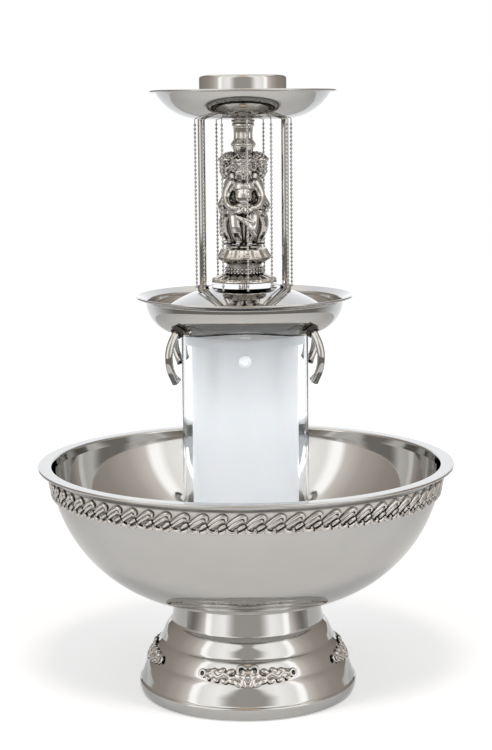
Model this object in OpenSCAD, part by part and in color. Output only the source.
// Drinks fountain: a stepped pedestal carries a wide bowl, and a clear lit column in the bowl carries
// a tier with four spouts, a small statue between two delivery tubes, and a top tier with a cap.
// Lengths are in millimetres, the table is at z = 0, the axis is Z and the front faces -Y.

/* [Pedestal] */
// Outer radius of the skirt that stands on the table
skirt_r = 128.5; // [126:0.5:132]
// Height of the skirt's upper edge
skirt_h = 16; // [15:0.5:18]
// Height of the lowest step above the skirt
low_step_h = 26; // [25:0.5:28]
// Height of each of the two upper steps
step_h = 22; // [21:0.5:23]
// Inward slope of each step's side
step_taper = 8.5; // [7.5:0.5:9.5]
// Rounding of each step's shoulder
shoulder_r = 3.2; // [2.5:0.1:5]
// Wall of the spun pedestal
shell_t = 1.5; // [1.2:0.1:1.8]
// Height of the rubber feet under the base plate
foot_h = 8; // [7:0.5:9]
// Width of each scroll casting, along the curve
scroll_w = 108; // [100:1:114]

/* [Bowl] */
// Height of the bowl's flat floor, outside
bowl_floor_z = 111.3; // [110.5:0.1:113]
// Radius of the flat floor
bowl_floor_r = 59.3; // [58.5:0.1:60]
// Radius of the bowl's rounded side
bowl_curve_r = 169.4; // [167:0.2:172]
// Outer radius of the flat rim
bowl_rim_r = 241; // [238:0.5:246]
// Height of the rim
bowl_rim_z = 275; // [273:0.5:277]
// Wall of the bowl
bowl_t = 1.5; // [1.2:0.1:1.8]
// Height of the rope trim
rope_h = 25; // [22:0.5:26]
// Strands in the rope trim, all the way round
rope_count = 70; // [60:1:72]

/* [Column] */
// Outer radius of the clear tube
tube_r = 73.4; // [72.5:0.1:74.5]
// Wall of the clear tube
tube_t = 3; // [2.5:0.1:3.4]
// Gap between the clear tube and the white diffuser sleeve
sleeve_gap = 8.4; // [7.4:0.1:9.4]
// Height of the middle tier's floor, outside
tier_z = 427; // [420:1:434]
// Outer radius of the riser tube
riser_r = 6.35; // [6:0.05:6.8]

/* [Middle tier] */
// Radius of the middle tier's rim
tier_rim_r = 124; // [121:0.5:127]
// Height of the rim above the tier's floor
tier_deep = 43; // [42:0.5:45]
// Radius of the tier's flat floor
tier_flat_r = 76.5; // [75.5:0.1:77.5]
// Radius of the tier's rounded corner
tier_curve_r = 37.5; // [36.5:0.1:38.5]
// Radius of the dome's sphere
dome_ball_r = 172; // [168:0.5:178]
// Height of the dome's flat top above the tier's floor
dome_up = 52.5; // [51.5:0.5:54]
// Outer radius of a spout's tube
spout_r = 4.5; // [4.2:0.1:4.8]
// Bend radius of a spout
spout_bend_r = 37; // [34:0.5:39]

/* [Upper part] */
// Height of the top tier's floor, outside
top_z = 670; // [664:1:678]
// Radius of the top tier's rim
top_rim_r = 106.3; // [104:0.1:109]
// Radius of the top tier's flat floor
top_flat_r = 47; // [46:0.1:48]
// Radius of the top tier's rounded side
top_curve_r = 62; // [60:0.5:64]
// Outer radius of the cap
cap_r = 50.5; // [48:0.5:52]
// Height of the cap's top above the top tier's floor
cap_up = 50; // [48:0.5:54]
// Distance of each delivery tube from the axis
rod_x = 47.6; // [47:0.1:48]
// Outer radius of a delivery tube
rod_r = 4.2; // [4:0.05:4.3]
// Radius of the circle of bead chains
chain_circle_r = 55; // [54.8:0.1:56]
// Radius of a bead
bead_r = 1.6; // [1.4:0.05:1.7]
// Distance between beads
bead_pitch = 4.6; // [4.2:0.1:5]
// Number of bead chains
chain_count = 12; // [6:1:12]
// Radius of the statue's foot
statue_foot_r = 38; // [36:0.5:39]

/* [Pump and motor] */
// Radius of the drive shaft
shaft_r = 3; // [2.8:0.1:3.2]
// Radius of the impeller
impeller_r = 27; // [25:0.5:28]
// Outer radius of the motor's stator
stator_r = 40; // [39:0.5:41]
// Height of the stator
stator_h = 28; // [26:0.5:30]
// Swing of each switch rocker, in degrees
rocker_swing = 20; // [14:1:20]

/* [Hidden] */
// Shares of the statue's height, and outlines as [share of the foot's radius, share of the height]
foot_share = 0.224;
urn_share = 0.816;
figure_share = 0.592;
knop_share = 0.152;
knop_round_share = 0.035;
knop_r_share = 0.85;
bead_row_shares = [0.057, 0.08];
foot_shares = [[0, 0], [1, 0], [1, 0.012], [0.74, 0.026], [0.61, 0.038], [0.56, 0.042], [0.56, 0.112]];
foot_top_shares = [[0.7, 0.194], [0.66, 0.206], [0.54, 0.214], [0.54, 0.224], [0, 0.224]];
urn_shares = [[0, 0.816], [0.3, 0.816], [0.365, 0.835], [0.365, 0.85], [0.29, 0.874], [0.28, 0.922],
    [0.3, 0.961], [0.337, 0.971]];
urn_top_share = 0.337;
// A figure's joints and their radii, as shares of its height, for the right-hand side
leg_shares = [[0.073, -0.128, 0.35], [0.11, -0.165, 0.19], [0.078, -0.124, 0.04], [0.09, -0.18, 0.026]];
leg_r_shares = [0.08, 0.06, 0.042, 0.028];
arm_shares = [[0.142, -0.115, 0.64], [0.197, -0.13, 0.5], [0.2, -0.174, 0.385]];
arm_r_shares = [0.06, 0.048, 0.04];
body_shares = [[0, -0.13, 0.42], [0, -0.115, 0.6], [0, -0.125, 0.74]];
body_r_shares = [0.115, 0.12, 0.055];
head_shares = [0, -0.15, 0.82];
head_r_share = 0.12;
garland_shares = [0.25, 0.375, 0.036];
// Facets of round pieces and steps of a rounded outline
$fn = 96;
arc_steps = 10;
small_fn = 32;
figure_fn = 12;
// Fits
run_fit = 0.05;
rest_fit = 0.05;
slip_fit = 0.3;
hole_fit = 0.1;
overrun = 1;

// Pedestal
foot_gap = 1.5;
skirt_ledge = 2.5;
skirt_tuck = 2.7;
step_ledge = 0.5;
step_in = step_taper + shoulder_r + step_ledge;
step_r = [skirt_r - skirt_ledge, skirt_r - skirt_ledge - step_in, skirt_r - skirt_ledge - 2 * step_in];
step_top = [skirt_h + low_step_h, skirt_h + low_step_h + step_h, skirt_h + low_step_h + 2 * step_h];
step_low = [skirt_h, step_top[0], step_top[1]];
neck_taper = 1.2;
neck_r = step_r[2] - step_in;
neck_top_r = neck_r - neck_taper;
bowl_arc_z = bowl_floor_z + bowl_curve_r;
function bowl_under(r) = bowl_arc_z - sqrt(pow(bowl_curve_r, 2) - pow(max(r - bowl_floor_r, 0), 2));
function bowl_inside(r) =
    bowl_arc_z - sqrt(pow(bowl_curve_r - bowl_t, 2) - pow(max(r - bowl_floor_r, 0), 2));
neck_top_z = bowl_under(neck_top_r - shell_t) - slip_fit;
function neck_at(z) =
    neck_r - neck_taper * (z - step_top[2]) / (neck_top_z + overrun - step_top[2]);
floor_z = bowl_floor_z + bowl_t;
gasket_t = 2;
flange_top = bowl_floor_z - gasket_t;
flange_in_r = 43.5;
plate_t = 2;
plate_z = foot_h;
plate_r = skirt_r - skirt_tuck - shell_t - slip_fit;
lip_t = 2;
lip_w = 12;
plate_screw_r = plate_r - lip_w / 2;
plate_screws = 6;
screw_r = 1.7;
screw_head_r = 3.2;
screw_head_t = 1.6;
screw_reach = 3;
foot_r = 9;
foot_in = 32;
foot_circle_r = plate_r - foot_in;
foot_stud_r = 2.5;
vent_count = 24;
vent_w = 3;
vent_gap = 5;
vent_long = 18;
vent_out_r = foot_circle_r - foot_r - vent_gap;
vent_in_r = vent_out_r - vent_long;
scroll_rise = 7.5;
scroll_mid_z = step_top[0] + scroll_rise;
scroll_disc_r = 7;
scroll_eye_r = 3.2;
scroll_discs = 3;
scroll_leaf_r = 5.5;
scroll_back_t = 2;
scroll_proud = 3;
scroll_half_h = 6;
scroll_sway = 2.5;

// Bowl
rim_t = 1.5;
rim_bead_r = 1.6;
band_h = 11;
band_z = bowl_rim_z - band_h;
function bowl_out(z) = bowl_floor_r + sqrt(pow(bowl_curve_r, 2) - pow(bowl_arc_z - z, 2));
band_r = bowl_out(band_z);
rope_top = band_z - rest_fit;
rope_mid_z = rope_top - rope_h / 2;
rope_back_t = 1;
rope_seat_r = max(bowl_out(rope_mid_z), band_r);
rope_strand_r = 4.6;
rope_strand_out = 2.4;
rope_lean = 46;
rope_reach_share = 0.52;
bolt_circle_r = 50;
bolt_count = 6;
bolt_r = 2.5;
bolt_head_r = 4.6;
bolt_head_t = 3.5;
mount_t = 3;
mount_r = bowl_floor_r - overrun;
mount_in_r = 17;
mount_z = flange_top - shell_t - mount_t;
seal_hole_r = 10;
seal_flange_r = 14;
seal_flange_t = 2;
nut_t = 3.5;

// Pump
pump_room = 5;
pump_r = impeller_r + pump_room;
pump_wall = 3;
pump_flange_r = 41;
pump_flange_t = 3;
pump_h = 26;
pump_top = floor_z + pump_h;
pump_screw_circle_r = 37.8;
pump_screws = 4;
pump_screw_r = 1.5;
pump_screw_head_r = 2.8;
intake_count = 8;
intake_w = 9;
intake_h = 6;
intake_up = 5;
cover_t = 4;
boss_r = 11;
boss_h = 18;
riser_t = 1;
riser_low = pump_top + cover_t;
impeller_z = floor_z + intake_up + seal_flange_t;
impeller_h = 12;
impeller_disc_t = 2;
vane_count = 6;
vane_t = 2;
hub_r = 7;

// Motor
motor_gap = 8;
bell_t = 4;
winding_h = 7;
winding_gap = 1.5;
stator_top = mount_z - motor_gap - bell_t - winding_h - winding_gap;
stator_z = stator_top - stator_h;
rotor_r = stator_r / 2;
rotor_gap = 0.5;
winding_in = 7;
winding_out_r = stator_r - winding_in;
motor_bolt_in = 3.4;
motor_bolt_circle_r = stator_r - motor_bolt_in;
motor_bolts = 4;
motor_bolt_r = 1.6;
motor_nut_r = 3.2;
spacer_r = 3;
bush_r = 6;
bush_h = 8;
bell_low = stator_z - winding_h - winding_gap - bell_t;
shaft_low = bell_low - bush_h;
shaft_top = impeller_z + impeller_h;
shaft_tail = 5;

// Switches and gland, on the back of the lowest step
switch_turn = 17;
switch_lean = atan(step_taper / (low_step_h - shoulder_r));
switch_mid_r = step_r[0] - step_taper / 2;
switch_mid_z = skirt_h + (low_step_h - shoulder_r) / 2;
bezel_w = 21;
bezel_h = 15.5;
bezel_t = 2;
switch_w = 18;
switch_h = 12.6;
switch_deep = 13;
cavity_w = 15;
cavity_h = 11;
cavity_deep = 8;
rocker_w = cavity_w - 2 * slip_fit;
rocker_half = 4.5;
rocker_out = 1.6;
rocker_dish = 0.8;
rocker_in = 4.2;
pivot_in = 1.6;
pivot_r = 1.3;
pivot_deep = 0.9;
gland_r = 5.5;
gland_bore_r = 3.2;
gland_flange_r = 8;
gland_flange_t = 3;
gland_nose = 5;
gland_deep = 14;
gland_nut_t = 4;

// Lamp
lamp_circle_r = 45;
lamp_turn = 30;
lamp_stem_r = 3;
lamp_stem_bore_r = 1.8;
lamp_up = 46;
lamp_stem_top = pump_top + lamp_up;
lamp_socket_r = 12.5;
lamp_socket_h = 28;
lamp_stop_h = 6;
bulb_r = 10.5;
bulb_h = 62;
bulb_t = 1;
bulb_cap_r = 9;
bulb_cap_h = 14;

// Column
tube_in_r = tube_r - tube_t;
diffuser_r = tube_in_r - sleeve_gap;
seat_shelf = 4;
seat_in_r = diffuser_r - seat_shelf;
seat_wall = 4.5;
seat_out_r = tube_r + slip_fit + seat_wall;
seat_h = 6;
seat_z = bowl_inside(seat_out_r) + seat_h;
seat_lip_h = 10;
seat_notches = 8;
seat_notch_w = 12;
seat_notch_h = 4;
tube_low = seat_z + rest_fit;
ring_t = 2;
tube_top = tier_z - ring_t - 2 * rest_fit;
diffuser_t = 1.5;
diffuser_gap = 3;
diffuser_top = tier_z - diffuser_gap;
spacer_count = 3;
spacer_head_r = 7;
spacer_drop = 27;
spacer_z = tier_z - spacer_drop;
riser_in = 3;
riser_top = tier_z + riser_in;

// Middle tier
tier_t = 1.3;
tier_floor = tier_z + tier_t;
tier_wall_r = tier_flat_r + tier_curve_r;
tier_arc_z = tier_z + tier_curve_r;
tier_rim_z = tier_z + tier_deep;
rim_roll_r = 1.4;
collar_r = tube_in_r - slip_fit;
collar_t = 4;
collar_h = 12;
collar_screws = 4;
dome_t = 1.2;
dome_top = tier_z + dome_up;
dome_edge_up = 30;
dome_edge_z = tier_z + dome_edge_up;
dome_flat_r = 35.5;
dome_arc_z = dome_top - sqrt(pow(dome_ball_r, 2) - pow(dome_flat_r, 2));
function dome_at(r) = dome_arc_z + sqrt(pow(dome_ball_r, 2) - pow(r, 2));
manifold_h = 18;
manifold_w = 18;
manifold_end = 9;
manifold_half = rod_x + manifold_end;
manifold_bore_r = 3.4;
spigot_r = 10;
spigot_h = 14;
spigot_nut_r = 16;
spigot_nut_t = 5;
manifold_top = tier_floor + manifold_h;
post_r = 10;
stud_r = 3;
stud_in = 20;
stud_low = dome_top - stud_in;
disc_t = 6;
disc_r = statue_foot_r;
disc_top = dome_top + disc_t;
stud_out = 10;
stud_top = disc_top + stud_out;
spout_turns = [45, 135, 225, 315];
spout_t = 1;
spout_lean = 45;
spout_tilt = 12;
spout_root_r = tier_flat_r + tier_curve_r * cos(spout_lean);
spout_root_z = tier_arc_z - tier_curve_r * sin(spout_lean);
spout_inside = 6;
spout_lip_r = 1.8;
spout_nut_r = 8;
spout_nut_t = 4.5;
spout_nut_bore_r = spout_r + slip_fit + pow(spout_nut_t, 2) / spout_bend_r;
spout_nut_dip = spout_nut_r * sin(spout_tilt);
spout_nut_sag = pow(spout_nut_r, 2) / (2 * (tier_curve_r - tier_t)) + slip_fit / 2;
spout_arc_r = spout_root_r - spout_bend_r * cos(spout_lean + spout_tilt);
spout_arc_z = spout_root_z - spout_bend_r * sin(spout_lean + spout_tilt);
spout_sweep = 2 * spout_lean + spout_tilt + spout_inside * 180 / (PI * spout_bend_r);

// Upper part
top_t = 1.2;
top_floor = top_z + top_t;
top_arc_z = top_z + top_curve_r;
top_lip_w = 5;
top_wall_r = top_rim_r - top_lip_w;
top_wall_z = top_arc_z - sqrt(pow(top_curve_r, 2) - pow(top_wall_r - top_flat_r, 2));
top_lip_h = 1.5;
top_rim_z = top_wall_z + top_lip_h;
function top_at(r) = top_arc_z - sqrt(pow(top_curve_r, 2) - pow(max(r - top_flat_r, 0), 2));
rod_t = 1;
rod_in = 9;
rod_low = manifold_top - rod_in;
rod_out = 11;
rod_top = top_floor + rod_out;
rod_nut_r = 5.7;
rod_nut_t = 4;
foot_nut_r = 6.4;
foot_nut_h = 5;
core_r = 0.6;
chain_hole_r = 0.9;
chain_phase = 4.5;
chain_low = dome_at(chain_circle_r) + bead_r + slip_fit;
chain_high = top_at(chain_circle_r) - bead_r - slip_fit;
chain_beads = floor((chain_high - chain_low) / bead_pitch);
chain_start = chain_high - chain_beads * bead_pitch;
stop_z = top_at(chain_circle_r) + top_t + bead_r + slip_fit;
cap_t = 1.2;
cap_edge_r = 8;
cap_top = top_z + cap_up;
cap_gap = 3;
cap_low = rod_top + cap_gap;
post_top_r = 5;
post_flange_r = 12;
post_flange_t = 2;
cap_boss_r = 8;
cap_boss_h = 18;

// Statue: heights are shares of the space between the seat disc and the top tier
statue_h = top_z - disc_top;
function statue_at(share) = disc_top + statue_h * share;
foot_top = statue_at(foot_share);
urn_low = statue_at(urn_share);
pillar_r = 6;
figure_count = 3;
fig_h = statue_h * figure_share;
bead_row_r = 1.7;
bead_row_count = 30;
bead_row_sink = 0.4;

// Shared outlines and shapes
function arc(cr, cz, r, from, to, steps = arc_steps) =
    [for (i = [0:steps]) let (a = from + (to - from) * i / steps) [cr + r * cos(a), cz + r * sin(a)]];

function step_side(k, grow) = concat(
    [[step_r[k] + grow, step_low[k] + grow]],
    arc(step_r[k] - step_taper - shoulder_r, step_top[k] - shoulder_r, shoulder_r + grow, 0, 90));

function pedestal_side(grow) = concat(
    [[skirt_r - skirt_tuck + grow, 0], [skirt_r + grow, skirt_h / 2], [skirt_r + grow, skirt_h + grow]],
    step_side(0, grow), step_side(1, grow), step_side(2, grow),
    [[neck_r + grow, step_top[2] + grow], [neck_top_r + grow, neck_top_z + overrun]]);

module pedestal_form(grow) {
    rotate_extrude()
        polygon(concat([[0, 0]], pedestal_side(grow), [[0, neck_top_z + overrun]]));
}

module tube(outer, inner, high) {
    difference() {
        cylinder(r = outer, h = high);
        translate([0, 0, -overrun])
            cylinder(r = inner, h = high + 2 * overrun);
    }
}

module round_copies(count, radius, phase = 0) {
    for (i = [0:count - 1])
        rotate([0, 0, phase + 360 * i / count])
            translate([radius, 0, 0])
                children();
}

module on_back(turn) {
    rotate([0, 0, 90 + turn])
        translate([switch_mid_r, 0, switch_mid_z])
            rotate([0, -switch_lean, 0])
                children();
}

module block(low, high, wide, tall) {
    translate([low, -wide / 2, -tall / 2])
        cube([high - low, wide, tall]);
}

module hex_nut(outer, inner, high) {
    difference() {
        cylinder(r = outer, h = high, $fn = 6);
        translate([0, 0, -overrun])
            cylinder(r = inner, h = high + 2 * overrun, $fn = small_fn);
    }
}

// Pedestal
module pedestal_shell() {
    color("Silver")
        difference() {
            union() {
                difference() {
                    pedestal_form(0);
                    pedestal_form(-shell_t);
                    translate([0, 0, -overrun])
                        cylinder(r = skirt_r + overrun, h = foot_gap + overrun);
                    translate([0, 0, neck_top_z])
                        cylinder(r = skirt_r, h = 2 * overrun);
                }
                translate([0, 0, flange_top - shell_t])
                    tube(neck_at(flange_top) - shell_t / 2, flange_in_r, shell_t);
                translate([0, 0, plate_z + plate_t + rest_fit])
                    tube(skirt_r - shell_t / 2, plate_r - lip_w, lip_t);
            }
            translate([0, 0, flange_top - shell_t - overrun])
                bowl_holes(shell_t + 2 * overrun);
            translate([0, 0, plate_z])
                round_copies(plate_screws, plate_screw_r)
                    cylinder(r = screw_r + hole_fit, h = plate_t + lip_t + 2 * overrun, $fn = small_fn);
            for (turn = [-switch_turn, switch_turn])
                on_back(turn)
                    block(-switch_deep, bezel_t, switch_w + 2 * slip_fit, switch_h + 2 * slip_fit);
            on_back(0)
                rotate([0, 90, 0])
                    translate([0, 0, -gland_deep])
                        cylinder(r = gland_r + slip_fit, h = 2 * gland_deep, $fn = small_fn);
        }
}

module bowl_holes(high) {
    round_copies(bolt_count, bolt_circle_r)
        cylinder(r = bolt_r + hole_fit, h = high, $fn = small_fn);
    rotate([0, 0, lamp_turn])
        translate([lamp_circle_r, 0, 0])
            cylinder(r = lamp_stem_r + hole_fit, h = high, $fn = small_fn);
}

module base_plate() {
    color("DimGray")
        translate([0, 0, plate_z])
            difference() {
                cylinder(r = plate_r, h = plate_t);
                translate([0, 0, -overrun]) {
                    round_copies(plate_screws, plate_screw_r)
                        cylinder(r = screw_r + hole_fit, h = plate_t + 2 * overrun, $fn = small_fn);
                    round_copies(4, foot_circle_r, 45)
                        cylinder(r = foot_stud_r + hole_fit, h = plate_t + 2 * overrun, $fn = small_fn);
                    round_copies(vent_count, vent_in_r)
                        translate([0, -vent_w / 2, 0])
                            cube([vent_out_r - vent_in_r, vent_w, plate_t + 2 * overrun]);
                }
            }
}

module base_plate_screws() {
    color("LightGray")
        translate([0, 0, plate_z - rest_fit])
            round_copies(plate_screws, plate_screw_r) {
                translate([0, 0, -screw_head_t])
                    cylinder(r = screw_head_r, h = screw_head_t, $fn = small_fn);
                translate([0, 0, -screw_head_t / 2])
                    cylinder(r = screw_r, h = plate_t + lip_t + screw_reach, $fn = small_fn);
            }
}

module rubber_feet() {
    color("Black")
        round_copies(4, foot_circle_r, 45) {
            cylinder(r1 = foot_r - overrun, r2 = foot_r, h = plate_z - rest_fit, $fn = small_fn);
            translate([0, 0, foot_h / 2])
                cylinder(r = foot_stud_r, h = foot_h / 2 + plate_t + screw_reach, $fn = small_fn);
            translate([0, 0, plate_z + plate_t + rest_fit])
                cylinder(r = foot_r / 2, h = screw_reach, $fn = small_fn);
        }
}

// A scroll casting lies on the shoulder of the lowest step; scrolls with open eyes run out from its middle
module scroll_seat() {
    rotate_extrude()
        polygon([[0, skirt_h], [step_r[0] + rest_fit, skirt_h], [step_r[0] - step_taper + rest_fit, step_top[0] + rest_fit],
            [step_r[1] + rest_fit, step_top[0] + rest_fit], [step_r[1] - step_taper + rest_fit, step_top[1] + rest_fit],
            [0, step_top[1] + rest_fit]]);
}

module scroll_casting(turn) {
    degrees = 180 / (PI * step_r[1]);
    disc_step = (scroll_w / 2 - scroll_disc_r) / scroll_discs;
    color("DarkGray")
        rotate([0, 0, turn])
            difference() {
                union() {
                    rotate([0, 0, -scroll_w * degrees / 2])
                        rotate_extrude(angle = scroll_w * degrees)
                            translate([neck_r, scroll_mid_z - scroll_half_h])
                                square([step_r[1] + scroll_back_t - neck_r, 2 * scroll_half_h]);
                    for (side = [-1, 1])
                        for (k = [1:scroll_discs])
                            rotate([0, 0, side * k * disc_step * degrees])
                                translate([neck_r, 0, scroll_mid_z + (k % 2 * 2 - 1) * scroll_sway])
                                    rotate([0, 90, 0])
                                        tube(scroll_disc_r, scroll_eye_r, step_r[1] + scroll_back_t + scroll_proud - neck_r,
                                            $fn = small_fn);
                    for (side = [-1, 1])
                        translate([step_r[1] + scroll_back_t, side * scroll_sway, scroll_mid_z + side * scroll_half_h])
                            sphere(r = scroll_leaf_r, $fn = small_fn);
                }
                scroll_seat();
            }
}

// Bowl
module bowl() {
    lean = asin((band_z - bowl_arc_z) / bowl_curve_r);
    lean_in = asin((band_z - bowl_arc_z) / (bowl_curve_r - bowl_t));
    outer = concat([[0, bowl_floor_z]], arc(bowl_floor_r, bowl_arc_z, bowl_curve_r, -90, lean, 3 * arc_steps));
    inner = concat(arc(bowl_floor_r, bowl_arc_z, bowl_curve_r - bowl_t, lean_in, -90, 3 * arc_steps),
        [[0, floor_z]]);
    rim = [[band_r, bowl_rim_z - rim_t], [bowl_rim_r, bowl_rim_z - rim_t], [bowl_rim_r, bowl_rim_z],
        [band_r - bowl_t, bowl_rim_z]];
    color("Gainsboro")
        difference() {
            union() {
                rotate_extrude($fn = 2 * $fn)
                    polygon(concat(outer, rim, inner));
                rotate_extrude($fn = 2 * $fn)
                    translate([bowl_rim_r, bowl_rim_z - rim_bead_r])
                        circle(r = rim_bead_r, $fn = small_fn);
            }
            translate([0, 0, bowl_floor_z - overrun]) {
                bowl_holes(bowl_t + 2 * overrun);
                cylinder(r = seal_hole_r + hole_fit, h = bowl_t + 2 * overrun);
                round_copies(pump_screws, pump_screw_circle_r, 45)
                    cylinder(r = pump_screw_r + hole_fit, h = bowl_t + 2 * overrun, $fn = small_fn);
            }
        }
}

// The trim is a band with leaning, spindle-shaped strands all the way round
module rope_strand() {
    reach = rope_reach_share * rope_h;
    bulge = (pow(reach, 2) + pow(rope_strand_r, 2)) / (2 * rope_strand_r);
    rotate_extrude($fn = small_fn)
        intersection() {
            translate([rope_strand_r - bulge, 0])
                circle(r = bulge, $fn = 2 * $fn);
            translate([0, -reach])
                square([rope_strand_r, 2 * reach]);
        }
}

module rope_trim() {
    low = rope_top - rope_h;
    gap = rest_fit + pow(rope_h / 2, 2) / (8 * bowl_curve_r);
    color("Silver")
        difference() {
            union() {
                rotate_extrude($fn = 2 * $fn)
                    translate([bowl_floor_r, low])
                        square([rope_seat_r + rope_back_t - bowl_floor_r, rope_h]);
                for (i = [0:rope_count - 1])
                    rotate([0, 0, 360 * i / rope_count])
                        translate([rope_seat_r + rope_strand_out - rope_strand_r, 0, rope_mid_z])
                            rotate([rope_lean, 0, 0])
                                rope_strand();
            }
            rotate_extrude($fn = 2 * $fn)
                polygon([[0, low - overrun], [bowl_out(low) + gap, low - overrun], [bowl_out(low) + gap, low],
                    [bowl_out(rope_mid_z) + gap, rope_mid_z], [bowl_out(rope_top) + gap, rope_top],
                    [bowl_out(rope_top) + gap, rope_top + overrun], [0, rope_top + overrun]]);
        }
}

module bowl_gasket() {
    color("Black")
        difference() {
            translate([0, 0, flange_top + rest_fit])
                tube(mount_r, flange_in_r, gasket_t - 2 * rest_fit);
            translate([0, 0, flange_top - overrun])
                bowl_holes(gasket_t + 2 * overrun);
        }
}

module bowl_bolts() {
    color("LightGray")
        round_copies(bolt_count, bolt_circle_r) {
            translate([0, 0, floor_z + rest_fit])
                cylinder(r = bolt_head_r, h = bolt_head_t, $fn = 6);
            translate([0, 0, mount_z - nut_t - overrun])
                cylinder(r = bolt_r, h = floor_z - mount_z + nut_t + 2 * overrun, $fn = small_fn);
            translate([0, 0, mount_z - nut_t - rest_fit])
                hex_nut(bolt_head_r, bolt_r + run_fit, nut_t);
        }
}

module motor_mount() {
    color("DarkGray")
        difference() {
            translate([0, 0, mount_z])
                tube(mount_r, mount_in_r, mount_t - rest_fit);
            translate([0, 0, mount_z - overrun]) {
                bowl_holes(mount_t + 2 * overrun);
                round_copies(motor_bolts, motor_bolt_circle_r, 45)
                    cylinder(r = motor_bolt_r + hole_fit, h = mount_t + 2 * overrun, $fn = small_fn);
            }
        }
}

// Pump
module shaft_seal() {
    color("Brown")
        difference() {
            union() {
                translate([0, 0, floor_z + rest_fit])
                    cylinder(r = seal_flange_r, h = seal_flange_t);
                translate([0, 0, bowl_floor_z - nut_t - overrun])
                    cylinder(r = seal_hole_r, h = bowl_t + nut_t + 2 * overrun);
            }
            translate([0, 0, mount_z])
                cylinder(r = shaft_r + run_fit, h = pump_h, $fn = small_fn);
        }
}

module floor_nuts() {
    color("Gray")
        translate([0, 0, bowl_floor_z - nut_t - rest_fit])
            hex_nut(seal_flange_r, seal_hole_r + run_fit, nut_t);
    color("Gray")
        at_lamp(mount_z - nut_t - rest_fit)
            hex_nut(bolt_head_r, lamp_stem_r + run_fit, nut_t);
}

module pump_housing() {
    color("WhiteSmoke")
        translate([0, 0, floor_z + rest_fit])
            difference() {
                union() {
                    cylinder(r = pump_r + pump_wall, h = pump_h - rest_fit);
                    cylinder(r = pump_flange_r, h = pump_flange_t);
                    translate([0, 0, pump_h - pump_flange_t - rest_fit])
                        cylinder(r = pump_flange_r, h = pump_flange_t);
                }
                translate([0, 0, -overrun])
                    cylinder(r = pump_r, h = pump_h + 2 * overrun);
                round_copies(intake_count, pump_r - overrun)
                    translate([0, -intake_w / 2, intake_up])
                        cube([pump_flange_r, intake_w, intake_h]);
                round_copies(pump_screws, pump_screw_circle_r, 45)
                    translate([0, 0, -overrun])
                        cylinder(r = pump_screw_r + hole_fit, h = pump_h + 2 * overrun, $fn = small_fn);
            }
}

module pump_cover() {
    color("WhiteSmoke")
        translate([0, 0, pump_top + rest_fit])
            difference() {
                union() {
                    cylinder(r = pump_flange_r, h = cover_t);
                    cylinder(r = boss_r, h = cover_t + boss_h);
                }
                translate([0, 0, -overrun])
                    cylinder(r = riser_r - riser_t, h = cover_t + 2 * overrun);
                translate([0, 0, cover_t])
                    cylinder(r = riser_r + run_fit, h = boss_h + overrun);
                round_copies(pump_screws, pump_screw_circle_r, 45)
                    translate([0, 0, -overrun])
                        cylinder(r = pump_screw_r + hole_fit, h = cover_t + 2 * overrun, $fn = small_fn);
            }
}

module pump_screws_group() {
    color("LightGray")
        round_copies(pump_screws, pump_screw_circle_r, 45) {
            translate([0, 0, pump_top + cover_t + 2 * rest_fit])
                cylinder(r = pump_screw_head_r, h = bolt_head_t, $fn = small_fn);
            translate([0, 0, bowl_floor_z - nut_t])
                cylinder(r = pump_screw_r, h = bowl_t + pump_h + cover_t + nut_t + overrun, $fn = small_fn);
            translate([0, 0, bowl_floor_z - nut_t + rest_fit])
                cylinder(r = pump_screw_head_r, h = nut_t - 2 * rest_fit, $fn = 6);
        }
}

module impeller() {
    color("Ivory")
        translate([0, 0, impeller_z])
            difference() {
                union() {
                    cylinder(r = impeller_r, h = impeller_disc_t);
                    cylinder(r = hub_r, h = impeller_h);
                    for (i = [0:vane_count - 1])
                        rotate([0, 0, 360 * i / vane_count])
                            translate([hub_r - overrun, -vane_t / 2, 0])
                                cube([impeller_r - hub_r, vane_t, impeller_h]);
                }
                translate([0, 0, -overrun])
                    cylinder(r = shaft_r + rest_fit, h = impeller_h + 2 * overrun, $fn = small_fn);
            }
}

// Motor
module motor_bolt_holes(low, high) {
    round_copies(motor_bolts, motor_bolt_circle_r, 45)
        translate([0, 0, low])
            cylinder(r = motor_bolt_r + hole_fit, h = high, $fn = small_fn);
}

module motor_stator() {
    color("SlateGray")
        difference() {
            translate([0, 0, stator_z])
                tube(stator_r, rotor_r + rotor_gap, stator_h);
            motor_bolt_holes(stator_z - overrun, stator_h + 2 * overrun);
        }
}

module motor_windings() {
    color("Peru")
        for (low = [stator_z - winding_h - rest_fit, stator_top + rest_fit])
            translate([0, 0, low])
                tube(winding_out_r, rotor_r + 2 * rotor_gap, winding_h);
}

module motor_rotor() {
    color("Gray")
        translate([0, 0, stator_z])
            tube(rotor_r, shaft_r + rest_fit, stator_h);
}

module motor_shaft() {
    color("LightGray")
        translate([0, 0, shaft_low - shaft_tail])
            cylinder(r = shaft_r, h = shaft_top - shaft_low + shaft_tail, $fn = small_fn);
}

module bell(skirt) {
    difference() {
        union() {
            cylinder(r = stator_r, h = bell_t);
            mirror([0, 0, 1])
                tube(stator_r, winding_out_r + slip_fit, skirt);
            cylinder(r = bush_r, h = bush_h);
        }
        translate([0, 0, -overrun])
            cylinder(r = shaft_r + run_fit, h = bush_h + 2 * overrun, $fn = small_fn);
        motor_bolt_holes(-skirt - overrun, skirt + bell_t + 2 * overrun);
    }
}

module motor_top_bell() {
    color("DarkGray")
        translate([0, 0, stator_top + winding_h + winding_gap])
            bell(winding_h + winding_gap - rest_fit);
}

module motor_bottom_bell() {
    color("DarkGray")
        translate([0, 0, stator_z - winding_h - winding_gap])
            mirror([0, 0, 1])
                bell(winding_h + winding_gap - rest_fit);
}

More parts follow.
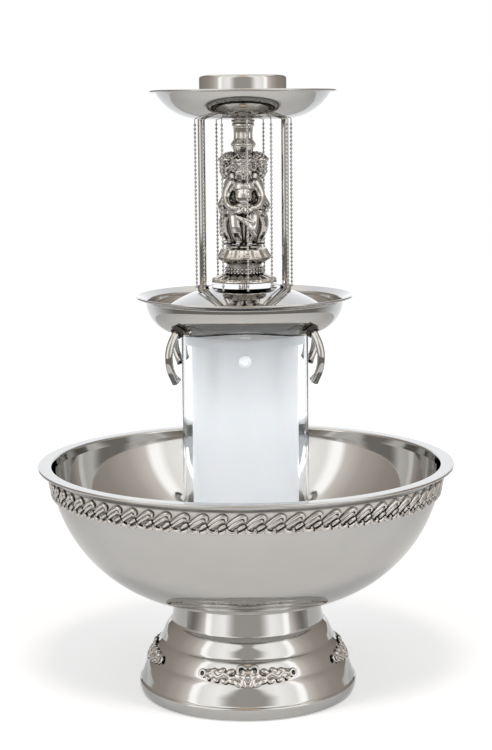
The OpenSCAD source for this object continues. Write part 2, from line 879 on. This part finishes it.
module motor_bolts_group() {
    color("LightGray")
        round_copies(motor_bolts, motor_bolt_circle_r, 45) {
            translate([0, 0, bell_low - nut_t - overrun])
                cylinder(r = motor_bolt_r, h = mount_z + mount_t + nut_t - bell_low, $fn = small_fn);
            translate([0, 0, bell_low - nut_t - rest_fit])
                cylinder(r = motor_nut_r, h = nut_t, $fn = 6);
            translate([0, 0, mount_z - motor_gap + rest_fit])
                tube(spacer_r, motor_bolt_r + hole_fit, motor_gap - 2 * rest_fit, $fn = small_fn);
        }
}

// Switches, gland and lamp
module switch_body(turn) {
    color("Black")
        on_back(turn)
            difference() {
                union() {
                    block(rest_fit, bezel_t, bezel_w, bezel_h);
                    block(-switch_deep, bezel_t, switch_w, switch_h);
                }
                block(-cavity_deep, bezel_t + overrun, cavity_w, cavity_h);
                translate([-pivot_in, 0, 0])
                    rotate([90, 0, 0])
                        cylinder(r = pivot_r + run_fit, h = cavity_w + 2 * pivot_deep + 2 * run_fit,
                            center = true, $fn = small_fn);
            }
}

module switch_rocker(turn, paint) {
    color(paint)
        on_back(turn)
            translate([-pivot_in, 0, 0])
                rotate([0, -rocker_swing / 2, 0]) {
                    rotate([90, 0, 0])
                        linear_extrude(height = rocker_w, center = true)
                            polygon([[-rocker_in, -rocker_half], [pivot_in + rocker_out, -rocker_half],
                                [pivot_in + rocker_out - rocker_dish, 0], [pivot_in + rocker_out, rocker_half],
                                [-rocker_in, rocker_half]]);
                    rotate([90, 0, 0])
                        cylinder(r = pivot_r, h = cavity_w + 2 * pivot_deep, center = true, $fn = small_fn);
                }
}

module cord_gland() {
    color("Black")
        on_back(0)
            rotate([0, 90, 0])
                difference() {
                    union() {
                        translate([0, 0, rest_fit])
                            cylinder(r = gland_flange_r, h = gland_flange_t, $fn = 6);
                        translate([0, 0, gland_flange_t / 2])
                            cylinder(r1 = gland_r + overrun, r2 = gland_r - overrun, h = gland_nose, $fn = small_fn);
                        translate([0, 0, -gland_deep])
                            cylinder(r = gland_r, h = gland_deep + overrun, $fn = small_fn);
                        translate([0, 0, -shell_t - overrun - gland_nut_t])
                            cylinder(r = gland_flange_r, h = gland_nut_t, $fn = 6);
                    }
                    translate([0, 0, -gland_deep - overrun])
                        cylinder(r = gland_bore_r, h = gland_deep + gland_nose + 4 * overrun, $fn = small_fn);
                }
}

module at_lamp(z) {
    rotate([0, 0, lamp_turn])
        translate([lamp_circle_r, 0, z])
            children();
}

module lamp_stem() {
    color("LightGray")
        at_lamp(mount_z - nut_t - overrun)
            tube(lamp_stem_r, lamp_stem_bore_r, lamp_stem_top - mount_z + nut_t + overrun, $fn = small_fn);
}

module lamp_socket() {
    color("White")
        at_lamp(lamp_stem_top - lamp_stop_h)
            difference() {
                cylinder(r = lamp_socket_r, h = lamp_socket_h, $fn = small_fn);
                translate([0, 0, -overrun])
                    cylinder(r = lamp_stem_r + run_fit, h = lamp_stop_h + overrun, $fn = small_fn);
                translate([0, 0, lamp_socket_h - bulb_cap_h])
                    cylinder(r = bulb_cap_r + hole_fit, h = bulb_cap_h + overrun, $fn = small_fn);
            }
}

module lamp_bulb() {
    low = lamp_stem_top - lamp_stop_h + lamp_socket_h - bulb_cap_h + rest_fit;
    color("LightYellow")
        at_lamp(low) {
            cylinder(r = bulb_cap_r, h = bulb_cap_h + bulb_t, $fn = small_fn);
            translate([0, 0, bulb_cap_h + bulb_t / 2])
                cylinder(r1 = bulb_cap_r - overrun, r2 = bulb_r, h = bulb_cap_h, $fn = small_fn);
            translate([0, 0, 2 * bulb_cap_h])
                cylinder(r = bulb_r, h = bulb_h - 2 * bulb_cap_h, $fn = small_fn);
            translate([0, 0, bulb_h])
                sphere(r = bulb_r - bulb_t / 10, $fn = small_fn);
        }
}

// Column
module column_seat() {
    bottom = [for (i = [0:arc_steps]) let (r = seat_in_r + (seat_out_r - seat_in_r) * i / arc_steps)
        [r, bowl_inside(r) + slip_fit]];
    top = [[seat_out_r, seat_z + seat_lip_h], [tube_r + slip_fit, seat_z + seat_lip_h],
        [tube_r + slip_fit, seat_z], [seat_in_r, seat_z]];
    color("White")
        difference() {
            rotate_extrude()
                polygon(concat(bottom, top));
            for (i = [0:seat_notches / 2 - 1])
                rotate([0, 0, 360 * (i + 0.5) / seat_notches])
                    translate([-seat_out_r - overrun, -seat_notch_w / 2, bowl_floor_z])
                        cube([2 * seat_out_r + 2 * overrun, seat_notch_w, bowl_t + seat_notch_h]);
        }
}

module clear_tube() {
    color("LightCyan", 0.4)
        translate([0, 0, tube_low])
            tube(tube_r, tube_in_r, tube_top - tube_low);
}

module diffuser() {
    color("White", 0.8)
        translate([0, 0, tube_low])
            tube(diffuser_r, diffuser_r - diffuser_t, diffuser_top - tube_low);
}

module diffuser_spacers() {
    room = tube_in_r - diffuser_r - slip_fit;
    color("White")
        for (i = [0:spacer_count - 1])
            rotate([0, 0, 360 * i / spacer_count - 90])
                difference() {
                    translate([0, 0, spacer_z])
                        rotate([0, 90, 0]) {
                            cylinder(r = spacer_head_r, h = diffuser_r + room / 2, $fn = small_fn);
                            translate([0, 0, diffuser_r + room / 2])
                                cylinder(r1 = spacer_head_r, r2 = spacer_head_r / 2, h = room / 4, $fn = small_fn);
                        }
                    translate([0, 0, spacer_z - 2 * spacer_head_r])
                        cylinder(r = diffuser_r + rest_fit, h = 4 * spacer_head_r);
                }
}

module riser_tube() {
    color("Silver")
        translate([0, 0, riser_low + 2 * rest_fit])
            tube(riser_r, riser_r - riser_t, riser_top - riser_low);
}

// Middle tier
module tier_shell(flat_r, curve_r, low, wall_r, wall_z, rim_r, rim_z, thick) {
    lean = asin((wall_z - low - curve_r) / curve_r);
    outer = concat([[0, low]], arc(flat_r, low + curve_r, curve_r, -90, lean));
    inner = concat(arc(flat_r, low + curve_r, curve_r - thick, lean, -90), [[0, low + thick]]);
    rotate_extrude()
        polygon(concat(outer, [[rim_r, rim_z - thick], [rim_r, rim_z]], inner));
    rotate_extrude()
        translate([rim_r, rim_z - rim_roll_r])
            circle(r = rim_roll_r, $fn = small_fn);
}

module at_spout(turn) {
    rotate([0, 0, turn])
        translate([spout_root_r, 0, spout_root_z])
            rotate([0, 90 + spout_lean - spout_tilt, 0])
                children();
}

module middle_tier() {
    color("Silver")
        difference() {
            tier_shell(tier_flat_r, tier_curve_r, tier_z, tier_wall_r, tier_arc_z - overrun,
                tier_rim_r, tier_rim_z, tier_t);
            translate([0, 0, tier_z - overrun]) {
                cylinder(r = spigot_r + hole_fit, h = tier_t + 2 * overrun);
                round_copies(collar_screws, collar_r - collar_t / 2, 45)
                    cylinder(r = pump_screw_r + hole_fit, h = tier_t + 2 * overrun, $fn = small_fn);
            }
            for (turn = spout_turns)
                at_spout(turn)
                    translate([0, 0, -spout_inside])
                        cylinder(r = spout_r + slip_fit, h = 2 * spout_inside, $fn = small_fn);
        }
}

module tier_collar() {
    color("White")
        difference() {
            translate([0, 0, tier_z - collar_h - rest_fit])
                tube(collar_r, collar_r - collar_t, collar_h);
            round_copies(collar_screws, collar_r - collar_t / 2, 45)
                translate([0, 0, tier_z - collar_h / 2])
                    cylinder(r = pump_screw_r + hole_fit, h = collar_h, $fn = small_fn);
        }
}

module tube_gasket() {
    color("White", 0.7)
        translate([0, 0, tier_z - ring_t - rest_fit])
            tube(tube_r, collar_r + hole_fit, ring_t);
}

module manifold() {
    color("Silver")
        difference() {
            union() {
                translate([-manifold_half, -manifold_w / 2, tier_floor + rest_fit])
                    cube([2 * manifold_half, manifold_w, manifold_h - rest_fit]);
                translate([0, 0, tier_z - spigot_h])
                    cylinder(r = spigot_r, h = spigot_h + 2 * overrun + tier_t);
            }
            translate([0, 0, tier_z - spigot_h - overrun])
                cylinder(r = riser_r + slip_fit, h = spigot_h + riser_top - tier_z + 2 * overrun);
            translate([0, 0, tier_floor])
                cylinder(r = manifold_bore_r, h = manifold_h / 2);
            translate([-rod_x, 0, tier_floor + manifold_h / 2 - overrun])
                rotate([0, 90, 0])
                    cylinder(r = manifold_bore_r, h = 2 * rod_x, $fn = small_fn);
            for (side = [-1, 1])
                translate([side * rod_x, 0, rod_low - rest_fit]) {
                    cylinder(r = rod_r + run_fit, h = manifold_h, $fn = small_fn);
                    mirror([0, 0, 1])
                        cylinder(r = rod_r - rod_t, h = 2 * overrun, $fn = small_fn);
                }
        }
}

module dome_post() {
    color("Silver")
        difference() {
            translate([0, 0, manifold_top + rest_fit])
                cylinder(r = post_r, h = dome_top - dome_t - manifold_top - 2 * rest_fit);
            translate([0, 0, stud_low - rest_fit])
                cylinder(r = stud_r + run_fit, h = dome_up, $fn = small_fn);
        }
}

module dome() {
    color("Silver")
        difference() {
            intersection() {
                translate([0, 0, dome_arc_z])
                    difference() {
                        sphere(r = dome_ball_r, $fn = 2 * $fn);
                        sphere(r = dome_ball_r - dome_t, $fn = 2 * $fn);
                    }
                translate([0, 0, dome_edge_z])
                    cylinder(r = dome_ball_r, h = dome_top - dome_edge_z - dome_t / 2);
            }
            rod_holes(tier_floor, dome_up);
        }
    color("Silver")
        translate([0, 0, dome_top - dome_t])
            tube(dome_flat_r + dome_t / 2, stud_r + slip_fit, dome_t);
}

module rod_holes(low, high) {
    for (side = [-1, 1])
        translate([side * rod_x, 0, low])
            cylinder(r = rod_r + hole_fit, h = high, $fn = small_fn);
}

// A spout: one bent tube from inside the tier to a thick lip
module spout(turn) {
    color("LightGray")
        rotate([0, 0, turn])
            translate([spout_arc_r, 0, spout_arc_z])
                rotate([90, 0, 0])
                    rotate([0, 0, -spout_lean]) {
                        rotate_extrude(angle = spout_sweep)
                            translate([spout_bend_r, 0])
                                difference() {
                                    circle(r = spout_r, $fn = small_fn);
                                    circle(r = spout_r - spout_t, $fn = small_fn);
                                }
                        translate([spout_bend_r, 0, 0])
                            rotate([90, 0, 0])
                                rotate_extrude($fn = small_fn)
                                    translate([spout_r - spout_t / 2, 0])
                                        circle(r = spout_lip_r, $fn = small_fn);
                    }
}

module spout_nuts() {
    color("DimGray")
        for (turn = spout_turns)
            at_spout(turn) {
                translate([0, 0, spout_nut_dip + rest_fit])
                    hex_nut(spout_nut_r, spout_nut_bore_r, spout_nut_t);
                translate([0, 0, -tier_t - spout_nut_dip - spout_nut_sag - spout_nut_t / 2])
                    hex_nut(spout_nut_r, spout_nut_bore_r, spout_nut_t / 2);
            }
}

// Upper part
module delivery_tube(side) {
    color("Silver")
        translate([side * rod_x, 0, rod_low])
            tube(rod_r, rod_r - rod_t, rod_top - rod_low, $fn = small_fn);
}

// Nuts of the delivery tubes and the manifold, screws of the collar, and the stud under the statue
module tower_fasteners() {
    color("LightGray") {
        for (side = [-1, 1]) {
            difference() {
                translate([side * rod_x, 0, dome_at(rod_x) - foot_nut_h])
                    cylinder(r = foot_nut_r, h = 2 * foot_nut_h, $fn = small_fn);
                translate([0, 0, dome_arc_z])
                    sphere(r = dome_ball_r + rest_fit, $fn = 2 * $fn);
                translate([side * rod_x, 0, dome_at(rod_x) - 2 * foot_nut_h])
                    cylinder(r = rod_r + run_fit, h = 4 * foot_nut_h, $fn = small_fn);
            }
            translate([side * rod_x, 0, top_at(rod_x + rod_nut_r) + top_t + rest_fit])
                hex_nut(rod_nut_r, rod_r + run_fit, rod_nut_t);
        }
        translate([0, 0, tier_z - spigot_nut_t - rest_fit])
            hex_nut(spigot_nut_r, spigot_r + run_fit, spigot_nut_t);
        round_copies(collar_screws, collar_r - collar_t / 2, 45) {
            translate([0, 0, tier_floor + rest_fit])
                cylinder(r = pump_screw_head_r, h = screw_head_t, $fn = small_fn);
            translate([0, 0, tier_z - collar_h / 2 + rest_fit])
                cylinder(r = pump_screw_r, h = collar_h / 2 + tier_t + overrun, $fn = small_fn);
        }
        translate([0, 0, stud_low])
            cylinder(r = stud_r, h = stud_top - stud_low, $fn = small_fn);
    }
}

module seat_disc() {
    color("LightCyan", 0.5)
        translate([0, 0, dome_top + rest_fit])
            tube(disc_r, stud_r + slip_fit, disc_t - 2 * rest_fit);
}

// A run of round joints, each joined to the next by a tapered rod
module limb(joints, radii) {
    for (i = [0:len(joints) - 2])
        hull() {
            translate(joints[i])
                sphere(r = radii[i], $fn = figure_fn);
            translate(joints[i + 1])
                sphere(r = radii[i + 1], $fn = figure_fn);
        }
}

// One standing child figure that faces -Y
module figure() {
    for (side = [-1, 1]) {
        limb([for (j = leg_shares) [side * j[0], j[1], j[2]] * fig_h], leg_r_shares * fig_h);
        limb([for (j = arm_shares) [side * j[0], j[1], j[2]] * fig_h], arm_r_shares * fig_h);
    }
    limb(body_shares * fig_h, body_r_shares * fig_h);
    translate(head_shares * fig_h)
        sphere(r = head_r_share * fig_h, $fn = 2 * figure_fn);
}

function statue_points(shares) = [for (p = shares) [p[0] * statue_foot_r, statue_at(p[1])]];

module statue_foot() {
    round_r = knop_round_share * statue_h;
    color("DarkGray")
        difference() {
            union() {
                rotate_extrude()
                    polygon(concat(statue_points(foot_shares),
                        arc(knop_r_share * statue_foot_r - round_r, statue_at(knop_share), round_r, -90, 90),
                        statue_points(foot_top_shares)));
                for (share = bead_row_shares)
                    translate([0, 0, statue_at(share)])
                        round_copies(bead_row_count, foot_shares[6][0] * statue_foot_r - bead_row_sink)
                            sphere(r = bead_row_r, $fn = small_fn / 2);
            }
            translate([0, 0, disc_top - overrun])
                cylinder(r = stud_r + run_fit, h = stud_top - disc_top + 2 * overrun, $fn = small_fn);
        }
}

module statue_figures() {
    color("DarkGray")
        difference() {
            union() {
                translate([0, 0, foot_top + rest_fit])
                    cylinder(r = pillar_r, h = urn_low - foot_top + overrun, $fn = 2 * figure_fn);
                rotate_extrude($fn = small_fn)
                    polygon(concat(statue_points(urn_shares), [[urn_top_share * statue_foot_r, top_z - rest_fit],
                        [0, top_z - rest_fit]]));
                for (i = [0:figure_count - 1])
                    rotate([0, 0, 360 * i / figure_count])
                        translate([0, 0, foot_top])
                            figure();
                translate([0, 0, foot_top + garland_shares[1] * fig_h])
                    rotate_extrude($fn = small_fn)
                        translate([garland_shares[0] * fig_h, 0])
                            circle(r = garland_shares[2] * fig_h, $fn = figure_fn);
            }
            translate([0, 0, foot_top - fig_h])
                cylinder(r = statue_foot_r, h = fig_h + rest_fit);
        }
}

module bead_chains() {
    color("Gainsboro")
        round_copies(chain_count, chain_circle_r, chain_phase - 90)
            rotate_extrude($fn = small_fn)
                intersection() {
                    union() {
                        for (i = [0:chain_beads])
                            translate([0, chain_start + i * bead_pitch])
                                circle(r = bead_r, $fn = small_fn);
                        translate([0, stop_z])
                            circle(r = bead_r, $fn = small_fn);
                        translate([0, chain_start])
                            square([core_r, stop_z - chain_start]);
                    }
                    translate([0, dome_edge_z])
                        square([2 * bead_r, top_z + top_curve_r - dome_edge_z]);
                }
}

module top_tier() {
    color("Silver")
        difference() {
            tier_shell(top_flat_r, top_curve_r, top_z, top_wall_r, top_wall_z, top_rim_r, top_rim_z, top_t);
            rod_holes(top_z - overrun, top_t + 3 * overrun);
            translate([0, 0, top_z - overrun]) {
                cylinder(r = stud_r + hole_fit, h = top_t + 2 * overrun, $fn = small_fn);
                round_copies(chain_count, chain_circle_r, chain_phase - 90)
                    cylinder(r = chain_hole_r, h = top_t + 4 * overrun, $fn = small_fn);
            }
        }
}

module cap_post() {
    color("LightGray") {
        translate([0, 0, top_floor + rest_fit])
            cylinder(r = post_flange_r, h = post_flange_t);
        translate([0, 0, top_z + rest_fit])
            cylinder(r = stud_r, h = top_t + post_flange_t / 2, $fn = small_fn);
        translate([0, 0, top_floor + post_flange_t / 2])
            cylinder(r = post_top_r, h = cap_top - cap_t - rest_fit - top_floor - post_flange_t / 2, $fn = small_fn);
    }
}

module spray_cap() {
    color("Silver") {
        rotate_extrude()
            polygon(concat([[cap_r - cap_t, cap_low], [cap_r, cap_low]],
                arc(cap_r - cap_edge_r, cap_top - cap_edge_r, cap_edge_r, 0, 90),
                [[0, cap_top], [0, cap_top - cap_t]],
                arc(cap_r - cap_edge_r, cap_top - cap_edge_r, cap_edge_r - cap_t, 90, 0)));
        translate([0, 0, cap_top - cap_boss_h])
            tube(cap_boss_r, post_top_r + slip_fit, cap_boss_h - cap_t / 2);
    }
}

pedestal_shell();
base_plate();
base_plate_screws();
rubber_feet();
scroll_casting(0);  // scroll_1
scroll_casting(90);  // scroll_2
scroll_casting(180);  // scroll_3
scroll_casting(270);  // scroll_4
bowl();
rope_trim();
bowl_gasket();
bowl_bolts();
motor_mount();
shaft_seal();
floor_nuts();
pump_housing();
pump_cover();
pump_screws_group();  // pump_screws
impeller();
motor_stator();
motor_windings();
motor_rotor();
motor_shaft();
motor_top_bell();
motor_bottom_bell();
motor_bolts_group();  // motor_bolts
switch_body(-switch_turn);  // pump_switch
switch_rocker(-switch_turn, "DarkGreen");  // pump_rocker
switch_body(switch_turn);  // lamp_switch
switch_rocker(switch_turn, "Maroon");  // lamp_rocker
cord_gland();
lamp_stem();
lamp_socket();
lamp_bulb();
column_seat();
clear_tube();
diffuser();
diffuser_spacers();
riser_tube();
middle_tier();
tier_collar();
tube_gasket();
manifold();
dome_post();
dome();
spout(spout_turns[0]);  // spout_1
spout(spout_turns[1]);  // spout_2
spout(spout_turns[2]);  // spout_3
spout(spout_turns[3]);  // spout_4
spout_nuts();
delivery_tube(-1);  // delivery_tube_left
delivery_tube(1);  // delivery_tube_right
tower_fasteners();
seat_disc();
statue_foot();
statue_figures();
bead_chains();
top_tier();
cap_post();
spray_cap();
